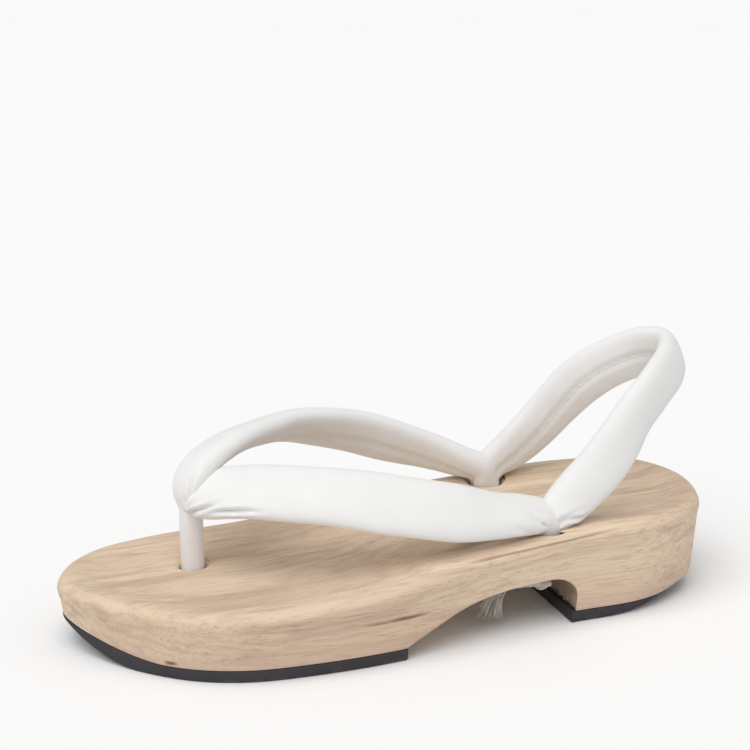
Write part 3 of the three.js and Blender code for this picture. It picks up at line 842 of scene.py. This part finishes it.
def wood_rings():
    """Rings round the wood from its underside up the wall, over the edge and across the footbed."""
    profile = under_profile()
    lean = unit(np.gradient(profile, axis=0))
    into = np.column_stack([-lean[:, 1], lean[:, 0]])
    lateral = HALVES[0]
    share = travelled(np.column_stack([way_at(lateral, profile[:, 0]), profile[:, 1]]))
    top_y = np.interp(share / share[-1] * lateral[-1, 0], lateral[:, 0], lateral[:, 2])
    sides = []
    for half in HALVES:
        top_way = pinned(way_at(half, top_y), half)
        rings = wall_rings(half, profile, into, top_way) + rim_rings(half, top_way)
        sides.append(np.stack(rings + bed_rings(rings[-1])))
    return [as_ring(a, b) for a, b in zip(*sides)], len(profile) - 1


def sanded(points):
    """Slight unevenness of a hand-sanded surface, none where the rubber is glued on."""
    x, y, z = points.T
    shift = np.sin(61 * y + 40 * x + 0.7) + 0.6 * np.sin(131 * y - 90 * z + 2.1)
    shift = shift + 0.5 * np.sin(97 * x + 43 * y)
    return SANDING * shift * smoothstep(z, 0.0065, 0.010)


def lathe(centre, profile, sides):
    """A closed turned shape round a vertical line; profile rows are radius and height."""
    angle = np.linspace(0, 2 * np.pi, sides, endpoint=False)
    round_line = np.column_stack([np.cos(angle), np.sin(angle), 0 * angle])
    rings = [round_line * r + (centre[0], centre[1], z) for r, z in profile]
    return closed_tube(np.stack(rings))


def cut(piece, tool_points, tool_faces):
    """Cuts a closed shape out of the piece."""
    tool = make_object("cutter", tool_points, tool_faces, piece.data.materials[0])
    modifier = piece.modifiers.new("cut", "BOOLEAN")
    modifier.operation = "DIFFERENCE"
    modifier.solver = "EXACT"
    modifier.object = tool
    result = bpy.data.meshes.new_from_object(piece.evaluated_get(bpy.context.evaluated_depsgraph_get()))
    piece.modifiers.clear()
    piece.data = result
    bpy.data.objects.remove(tool)


def hole_profile(radius, floor, top):
    """Bore with a softly flared mouth."""
    rows = [(radius, floor), (radius, top - MOUTH_DEPTH)]
    for turn in np.linspace(0, np.pi / 2, 7)[1:]:
        flare = MOUTH_FLARE * (1 - np.cos(turn))
        rows.append((radius + flare, top - MOUTH_DEPTH + MOUTH_CURVE * np.sin(turn)))
    return rows + [(radius + MOUTH_TOP, top)]


def make_sole(wood):
    rings, columns = wood_rings()
    count = 2 * columns
    points = list(np.vstack(rings))
    faces = loft_faces(count, len(rings))
    cap(points, faces, 0, columns, UNDERSIDE_LINES, upward=False)
    cap(points, faces, (len(rings) - 1) * count, columns, BED_LINES, upward=True)
    sole = make_object("carved_sole", points, faces, wood)
    places = np.array(points)
    normals = np.zeros(len(places) * 3)
    sole.data.vertices.foreach_get("normal", normals)
    places = places + normals.reshape(-1, 3) * sanded(places)[:, None]
    sole.data.vertices.foreach_set("co", places.ravel())
    bores = [(hole, SIDE_HOLE_RADIUS, SIDE_HOLE_START, 64) for hole in SIDE_HOLES.values()]
    bores.append((FRONT_HOLE, FRONT_HOLE_RADIUS, FRONT_HOLE_FLOOR, 48))
    for hole, radius, floor, sides in bores:
        profile = hole_profile(radius, floor, float(edge_height(hole[1])))
        cut(sole, *lathe(hole, profile, sides))
    sole.data.shade_smooth()
    sole.data.set_sharp_from_angle(angle=math.radians(35))
    declare(sole, "wood", "sole_body")


RUBBER_PROFILE = [                # inset and height of the rings round a rubber sheet
    (0.0009, 0.0), (0.0003, 0.00008), (0.00006, 0.0003), (0.0, 0.0008), (0.0, 0.002), (0.0, 0.0034),
    (0.0, RUBBER_TOP - 0.0003), (0.00007, RUBBER_TOP - 0.00008), (0.0003, RUBBER_TOP),
]
RUBBER_ACROSS = 24


def make_rubber_sheet(name, node_name, tip, cut_y, rubber):
    """A sheet whose outline runs from the tip of toe or heel to a straight cut across the sole."""
    lateral = HALVES[0]
    start, end = way_at(lateral, tip), way_at(lateral, cut_y)
    way = np.linspace(start, end, int(abs(end - start) / WOOD_STEP) + 1)
    y = np.interp(way, lateral[:, 0], lateral[:, 2])
    y[0], y[-1] = tip, cut_y
    heading = np.sign(cut_y - tip)
    rings = []
    for inset, height in RUBBER_PROFILE:
        stop = cut_y - heading * inset
        upper_share = height / RUBBER_TOP
        rise = toe_rise(y, RUBBER_RISE) * (1 - upper_share) + toe_rise(y, WOOD_RISE) * upper_share
        sides = []
        for half in HALVES:
            ring = wall(half, way_at(half, y), height + rise, inset)
            ring[:, 1] = heading * np.minimum(heading * ring[:, 1], heading * stop)
            ring[-1, 1] = stop
            sides.append(ring)
        a, b = sides
        share = np.linspace(0, 1, RUBBER_ACROSS + 1)[1:-1, None]
        across = a[-1] * (1 - share) + b[-1] * share
        rings.append(np.vstack([a, across, b[:0:-1]]))
    count = len(rings[0])
    points = list(np.vstack(rings))
    faces = loft_faces(count, len(rings))
    for start_index, upward in ((0, False), ((len(rings) - 1) * count, True)):
        sheet_cap(points, faces, start_index, count, len(way) - 1, upward)
    if heading < 0:
        faces = [face[::-1] for face in faces]
    sheet = make_object(name, points, faces, rubber, sharp=60)
    declare(sheet, "rubber", node_name)


def sheet_cap(points, faces, start, count, columns, upward):
    """Closes a rubber sheet's ring by lines across; the last line is the straight cut."""
    grid = np.zeros((columns + 1, RUBBER_ACROSS + 1), int)
    for i in range(columns + 1):
        ends = (start + i, start + (count - i) % count)
        for j in range(RUBBER_ACROSS + 1):
            share = j / RUBBER_ACROSS
            if i == 0 or j == 0:
                grid[i, j] = ends[0]
            elif j == RUBBER_ACROSS:
                grid[i, j] = ends[1]
            elif i == columns:
                grid[i, j] = start + columns + j
            else:
                grid[i, j] = len(points)
                points.append(points[ends[0]] * (1 - share) + points[ends[1]] * share)
    faces += grid_faces(grid, upward)


# ---------- straps ----------
STRAP_SIDES = 64
STRAP_STEP = 0.0011
SEAM_ANGLE = 270                  # the seam runs along the face that lies on the foot
SEAM_WIDTH, SEAM_DEPTH = 0.0009, 0.0005
STITCH_THREAD = 0.0005

# Creases: where along the strap and round it (degrees, 90 is the middle of the broad face), how long
# and wide, how deep, and how far the crease slants from the strap's own direction, in degrees.
LATERAL_CREASES = [
    (0.0095, 143, 0.0075, 0.0009, 0.0019, -17),
    (0.023, 150, 0.0085, 0.001, 0.0018, -4),
    (0.006, 124, 0.0035, 0.0006, 0.0007, -25),
    (0.012, 118, 0.004, 0.0007, 0.0005, -22),
    (0.0045, 96, 0.0032, 0.0006, 0.0005, -14),
    (0.0055, 70, 0.003, 0.0006, 0.0004, 8),
    (0.1385, 128, 0.0052, 0.0008, 0.0009, 38),
    (0.142, 150, 0.0024, 0.0008, 0.0007, 34),
    (0.1425, 105, 0.0034, 0.0007, 0.0005, 22),
    (0.131, 150, 0.006, 0.0012, 0.0005, 30),
]
MEDIAL_CREASES = [
    (0.0035, 130, 0.003, 0.0006, 0.0006, -20),
    (0.009, 150, 0.006, 0.001, 0.0007, -8),
    (0.1445, 52, 0.0052, 0.0008, 0.0009, -38),
    (0.148, 30, 0.0024, 0.0008, 0.0007, -34),
]
SLING_CREASES = [
    (0.01, 129, 0.0055, 0.0009, 0.0013, 32),
    (0.0075, 103, 0.006, 0.0008, 0.0008, 18),
    (0.007, 150, 0.004, 0.0007, 0.0008, 40),
    (0.188, 129, 0.0055, 0.0009, 0.0013, -32),
    (0.1905, 103, 0.006, 0.0008, 0.0008, -18),
    (0.191, 150, 0.004, 0.0007, 0.0008, -40),
]


def crease(way, around, girth, at, angle, long, wide, depth, slant):
    """A soft trough with a low ridge on each side."""
    gap = (around - angle + 180) % 360 - 180
    x, y = way - at, gap / 360 * girth
    turn = math.radians(slant)
    run = x * math.cos(turn) + y * math.sin(turn)
    off = -x * math.sin(turn) + y * math.cos(turn)
    fade = np.exp(-((run / long) ** 2) ** 1.3)
    trough = np.exp(-((off / wide) ** 2))
    ridges = np.exp(-(((np.abs(off) - 2.1 * wide) / (1.1 * wide)) ** 2))
    return depth * fade * (0.4 * ridges - trough)


def strap_swell(way, degrees_round, girth, creases):
    """How far the padding stands out from the strap's plain section."""
    turn = np.radians(degrees_round)
    way_grid, around = np.broadcast_arrays(way[:, None], degrees_round[None])
    swell = 0.00013 * np.sin(way_grid * 190 + 2 * np.sin(turn))
    swell = swell + 0.00012 * np.sin(way_grid * 77 + turn * 2 + 1)
    seam = (way[-1] / 2, SEAM_ANGLE, way[-1], SEAM_WIDTH, SEAM_DEPTH, 0)
    for facts in [seam, *creases]:
        swell = swell + crease(way_grid, around, girth, *facts)
    return swell


def strap_surface(rows, creases):
    """Rings of a padded strap and, for each of its points, the way along it and the angle round it."""
    flat = [(*row[:5], *row[5]) for row in rows]
    line = resampled(spline(flat, 24), STRAP_STEP)
    way = travelled(line[:, :3])
    along = unit(np.gradient(line[:, :3], axis=0))
    outward = line[:, 5:8]
    outward = unit(outward - along * (outward * along).sum(axis=1, keepdims=True))
    across = np.cross(outward, along)
    degrees_round = np.arange(STRAP_SIDES) * 360 / STRAP_SIDES
    turn = np.radians(degrees_round)
    power = 2 / STRAP_FULLNESS
    u = np.sign(np.cos(turn)) * np.abs(np.cos(turn)) ** power
    v = np.sign(np.sin(turn)) * np.abs(np.sin(turn)) ** power
    half_width, half_thick = line[:, 3:4] / 2, line[:, 4:5] / 2
    girth = 2 * np.pi * np.sqrt((half_width ** 2 + half_thick ** 2) / 2)
    swell = strap_swell(way, degrees_round, girth, creases)
    normal_u = np.sign(u) * np.abs(u) ** (STRAP_FULLNESS - 1) / half_width
    normal_v = np.sign(v) * np.abs(v) ** (STRAP_FULLNESS - 1) / half_thick
    size = np.hypot(normal_u, normal_v)
    u_here = u * half_width + swell * normal_u / size
    v_here = v * half_thick + swell * normal_v / size
    rings = line[:, None, :3] + across[:, None] * u_here[..., None] + outward[:, None] * v_here[..., None]
    return rings, way, girth[:, 0]


def lay_cloth(piece, way, girth):
    """UVs in metres, round the strap and along it, so the weave has one size everywhere."""
    layer = piece.data.uv_layers.new(name="cloth")
    quads = (len(way) - 1) * STRAP_SIDES
    ring = np.repeat(np.arange(len(way) - 1), STRAP_SIDES)
    side = np.tile(np.arange(STRAP_SIDES), len(way) - 1)
    mean = girth.mean()
    corners = [(ring, side), (ring, side + 1), (ring + 1, side + 1), (ring + 1, side)]
    quad_uv = np.stack([np.column_stack([s / STRAP_SIDES * mean, way[r]]) for r, s in corners], axis=1)
    values = np.zeros((len(piece.data.loops), 2))
    values[:quads * 4] = quad_uv.reshape(-1, 2)
    layer.data.foreach_set("uv", values.ravel())


def make_strap(name, rows, creases, fabric):
    rings, way, girth = strap_surface(rows, creases)
    points, faces = closed_tube(rings)
    piece = make_object(name, points, faces, fabric, sharp=80)
    lay_cloth(piece, way, girth)
    declare(piece, "strap_fabric", "upper")
    return rings, way


def seam_stitches(rings, way, first, last, pitch=0.0042, long=0.0024):
    """Thread showing along the seam, one short stitch after another."""
    seam = rings[:, int(SEAM_ANGLE / 360 * STRAP_SIDES)]
    centre = rings.mean(axis=1)
    lifted = seam + unit(seam - centre) * 0.0001
    parts = []
    for start in np.arange(way[0] + first, way[-1] - last, pitch):
        spots = np.linspace(start, start + long, 7)
        line = np.column_stack([np.interp(spots, way, column) for column in lifted.T])
        parts.append(rope(line, STITCH_THREAD, plies=2, turn=0.0015, sides=8))
    return joined(parts)


def make_upper(fabric, thread):
    laid = [
        make_strap("strap_lateral", FRONT_LATERAL, LATERAL_CREASES, fabric),
        make_strap("strap_medial", FRONT_MEDIAL, MEDIAL_CREASES, fabric),
        make_strap("heel_sling", SLING, SLING_CREASES, fabric),
    ]
    make_strap("toe_post", TOE_POST, [], fabric)
    margins = [(0.014, 0.034), (0.02, 0.034), (0.014, 0.014)]
    stitches = [seam_stitches(*strap, *margin) for strap, margin in zip(laid, margins)]
    points, faces = joined(stitches)
    seam = make_object("seam_stitches", points, faces, thread)
    declare(seam, "strap_fabric")


# ---------- studio ----------
FLOOR_HALF = 30.0
SKY_STRENGTH = 0.5


def make_floor():
    ways = [(-1, -1), (1, -1), (1, 1), (-1, 1)]
    corners = [(x * FLOOR_HALF, y * FLOOR_HALF, 0) for x, y in ways]
    floor = make_object("floor", corners, [(0, 1, 2, 3)], make_floor_material())


def soft_sun(name, azimuth, elevation, strength, spread):
    """Even light from one side; spread in degrees is how wide the source looks."""
    light = bpy.data.lights.new(name, "SUN")
    light.energy = strength
    light.angle = math.radians(spread)
    lamp = bpy.data.objects.new(name, light)
    lamp.rotation_mode = "QUATERNION"
    lamp.rotation_quaternion = (-direction(azimuth, elevation)).to_track_quat("-Z", "Y")
    bpy.context.scene.collection.objects.link(lamp)


def make_studio():
    make_floor()
    soft_sun("key", azimuth=40, elevation=62, strength=1.9, spread=55)
    soft_sun("fill", azimuth=85, elevation=20, strength=0.2, spread=80)
    world = bpy.data.worlds.new("studio")
    world.use_nodes = True
    sky = world.node_tree.nodes["Background"].inputs
    sky["Color"].default_value = (1, 1, 1, 1)
    sky["Strength"].default_value = SKY_STRENGTH
    bpy.context.scene.world = world
    bpy.context.scene.view_settings.view_transform = "Standard"


make_camera()
# The cord's cotton takes greyed tones as painted shade.
make_cords(make_cotton("cotton_cord_painted_shade", *CORD_PAINTED_SHADE))
make_sole(make_wood())
sheet_rubber = make_rubber()
make_rubber_sheet("rubber_front", "outsole_front", TOE_TIP[1], ARCH_ROWS[0][0], sheet_rubber)
make_rubber_sheet("rubber_heel", "outsole_heel", HEEL_TIP[1], HEEL_RUBBER_FRONT, sheet_rubber)
make_upper(make_fabric(), make_cotton("white_thread", *THREAD_SHADES))
make_studio()
